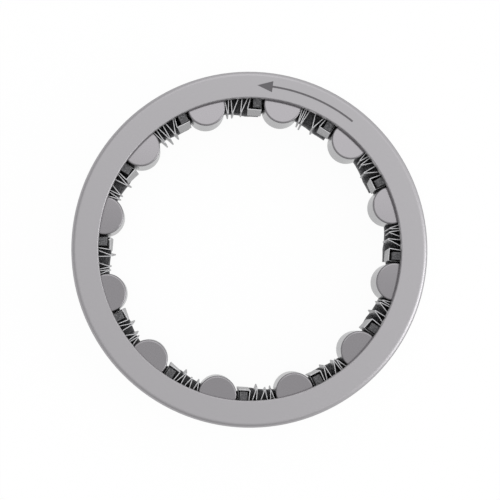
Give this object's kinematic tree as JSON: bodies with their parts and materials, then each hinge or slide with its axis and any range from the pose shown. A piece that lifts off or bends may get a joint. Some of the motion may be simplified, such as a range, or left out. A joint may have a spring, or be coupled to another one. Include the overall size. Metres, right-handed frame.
{
  "type": "one-way roller clutch",
  "caption": "Starter clutch insert: lipped outer ring with wedge ramps, caged rollers and folded strip springs that lock a hub in one direction.",
  "frame": {"origin": "centre of the rear face, on the ring's axis", "axes": "+Z along the axis from the rear face to the front face, +Y through the centre of roller_01"},
  "size_m": [0.06, 0.06, 0.011],
  "materials": {
    "ring_steel": "hardened, tumbled to a fine satin grey",
    "cage_plastic": "moulded glass-filled polyamide, matt black",
    "roller_steel": "hardened, ground smooth on the round and satin on the ends",
    "spring_steel": "rolled spring strip with bright slit edges"
  },
  "bodies": {
    "root": {"outer_ring": "ring_steel", "cage": "cage_plastic", "spring_01": "spring_steel", "spring_02": "spring_steel", "spring_03": "spring_steel", "spring_04": "spring_steel", "spring_05": "spring_steel", "spring_06": "spring_steel", "spring_07": "spring_steel", "spring_08": "spring_steel", "spring_09": "spring_steel", "spring_10": "spring_steel", "spring_11": "spring_steel", "spring_12": "spring_steel"},
    "roller_01": {"roller_01": "roller_steel"},
    "roller_02": {"roller_02": "roller_steel"},
    "roller_03": {"roller_03": "roller_steel"},
    "roller_04": {"roller_04": "roller_steel"},
    "roller_05": {"roller_05": "roller_steel"},
    "roller_06": {"roller_06": "roller_steel"},
    "roller_07": {"roller_07": "roller_steel"},
    "roller_08": {"roller_08": "roller_steel"},
    "roller_09": {"roller_09": "roller_steel"},
    "roller_10": {"roller_10": "roller_steel"},
    "roller_11": {"roller_11": "roller_steel"},
    "roller_12": {"roller_12": "roller_steel"}
  },
  "joints": [
    {"name": "roller_travel_01", "type": "hinge", "parent": "root", "child": "roller_01", "pos_m": [0.00332, 0, 0.0061], "axis": [0, 0, -1], "range_deg": [0, 4.5], "stiffness_Nm_per_rad": 0.32, "springref_deg": -1.15, "deforming": ["spring_01"]},
    {"name": "roller_travel_02", "type": "hinge", "parent": "root", "child": "roller_02", "pos_m": [0.00287, -0.00166, 0.0061], "axis": [0, 0, -1], "range_deg": [0, 4.5], "stiffness_Nm_per_rad": 0.32, "springref_deg": -1.15, "deforming": ["spring_02"]},
    {"name": "roller_travel_03", "type": "hinge", "parent": "root", "child": "roller_03", "pos_m": [0.00166, -0.00287, 0.0061], "axis": [0, 0, -1], "range_deg": [0, 4.5], "stiffness_Nm_per_rad": 0.32, "springref_deg": -1.15, "deforming": ["spring_03"]},
    {"name": "roller_travel_04", "type": "hinge", "parent": "root", "child": "roller_04", "pos_m": [0, -0.00332, 0.0061], "axis": [0, 0, -1], "range_deg": [0, 4.5], "stiffness_Nm_per_rad": 0.32, "springref_deg": -1.15, "deforming": ["spring_04"]},
    {"name": "roller_travel_05", "type": "hinge", "parent": "root", "child": "roller_05", "pos_m": [-0.00166, -0.00287, 0.0061], "axis": [0, 0, -1], "range_deg": [0, 4.5], "stiffness_Nm_per_rad": 0.32, "springref_deg": -1.15, "deforming": ["spring_05"]},
    {"name": "roller_travel_06", "type": "hinge", "parent": "root", "child": "roller_06", "pos_m": [-0.00287, -0.00166, 0.0061], "axis": [0, 0, -1], "range_deg": [0, 4.5], "stiffness_Nm_per_rad": 0.32, "springref_deg": -1.15, "deforming": ["spring_06"]},
    {"name": "roller_travel_07", "type": "hinge", "parent": "root", "child": "roller_07", "pos_m": [-0.00332, 0, 0.0061], "axis": [0, 0, -1], "range_deg": [0, 4.5], "stiffness_Nm_per_rad": 0.32, "springref_deg": -1.15, "deforming": ["spring_07"]},
    {"name": "roller_travel_08", "type": "hinge", "parent": "root", "child": "roller_08", "pos_m": [-0.00287, 0.00166, 0.0061], "axis": [0, 0, -1], "range_deg": [0, 4.5], "stiffness_Nm_per_rad": 0.32, "springref_deg": -1.15, "deforming": ["spring_08"]},
    {"name": "roller_travel_09", "type": "hinge", "parent": "root", "child": "roller_09", "pos_m": [-0.00166, 0.00287, 0.0061], "axis": [0, 0, -1], "range_deg": [0, 4.5], "stiffness_Nm_per_rad": 0.32, "springref_deg": -1.15, "deforming": ["spring_09"]},
    {"name": "roller_travel_10", "type": "hinge", "parent": "root", "child": "roller_10", "pos_m": [0, 0.00332, 0.0061], "axis": [0, 0, -1], "range_deg": [0, 4.5], "stiffness_Nm_per_rad": 0.32, "springref_deg": -1.15, "deforming": ["spring_10"]},
    {"name": "roller_travel_11", "type": "hinge", "parent": "root", "child": "roller_11", "pos_m": [0.00166, 0.00287, 0.0061], "axis": [0, 0, -1], "range_deg": [0, 4.5], "stiffness_Nm_per_rad": 0.32, "springref_deg": -1.15, "deforming": ["spring_11"]},
    {"name": "roller_travel_12", "type": "hinge", "parent": "root", "child": "roller_12", "pos_m": [0.00287, 0.00166, 0.0061], "axis": [0, 0, -1], "range_deg": [0, 4.5], "stiffness_Nm_per_rad": 0.32, "springref_deg": -1.15, "deforming": ["spring_12"]}
  ]
}
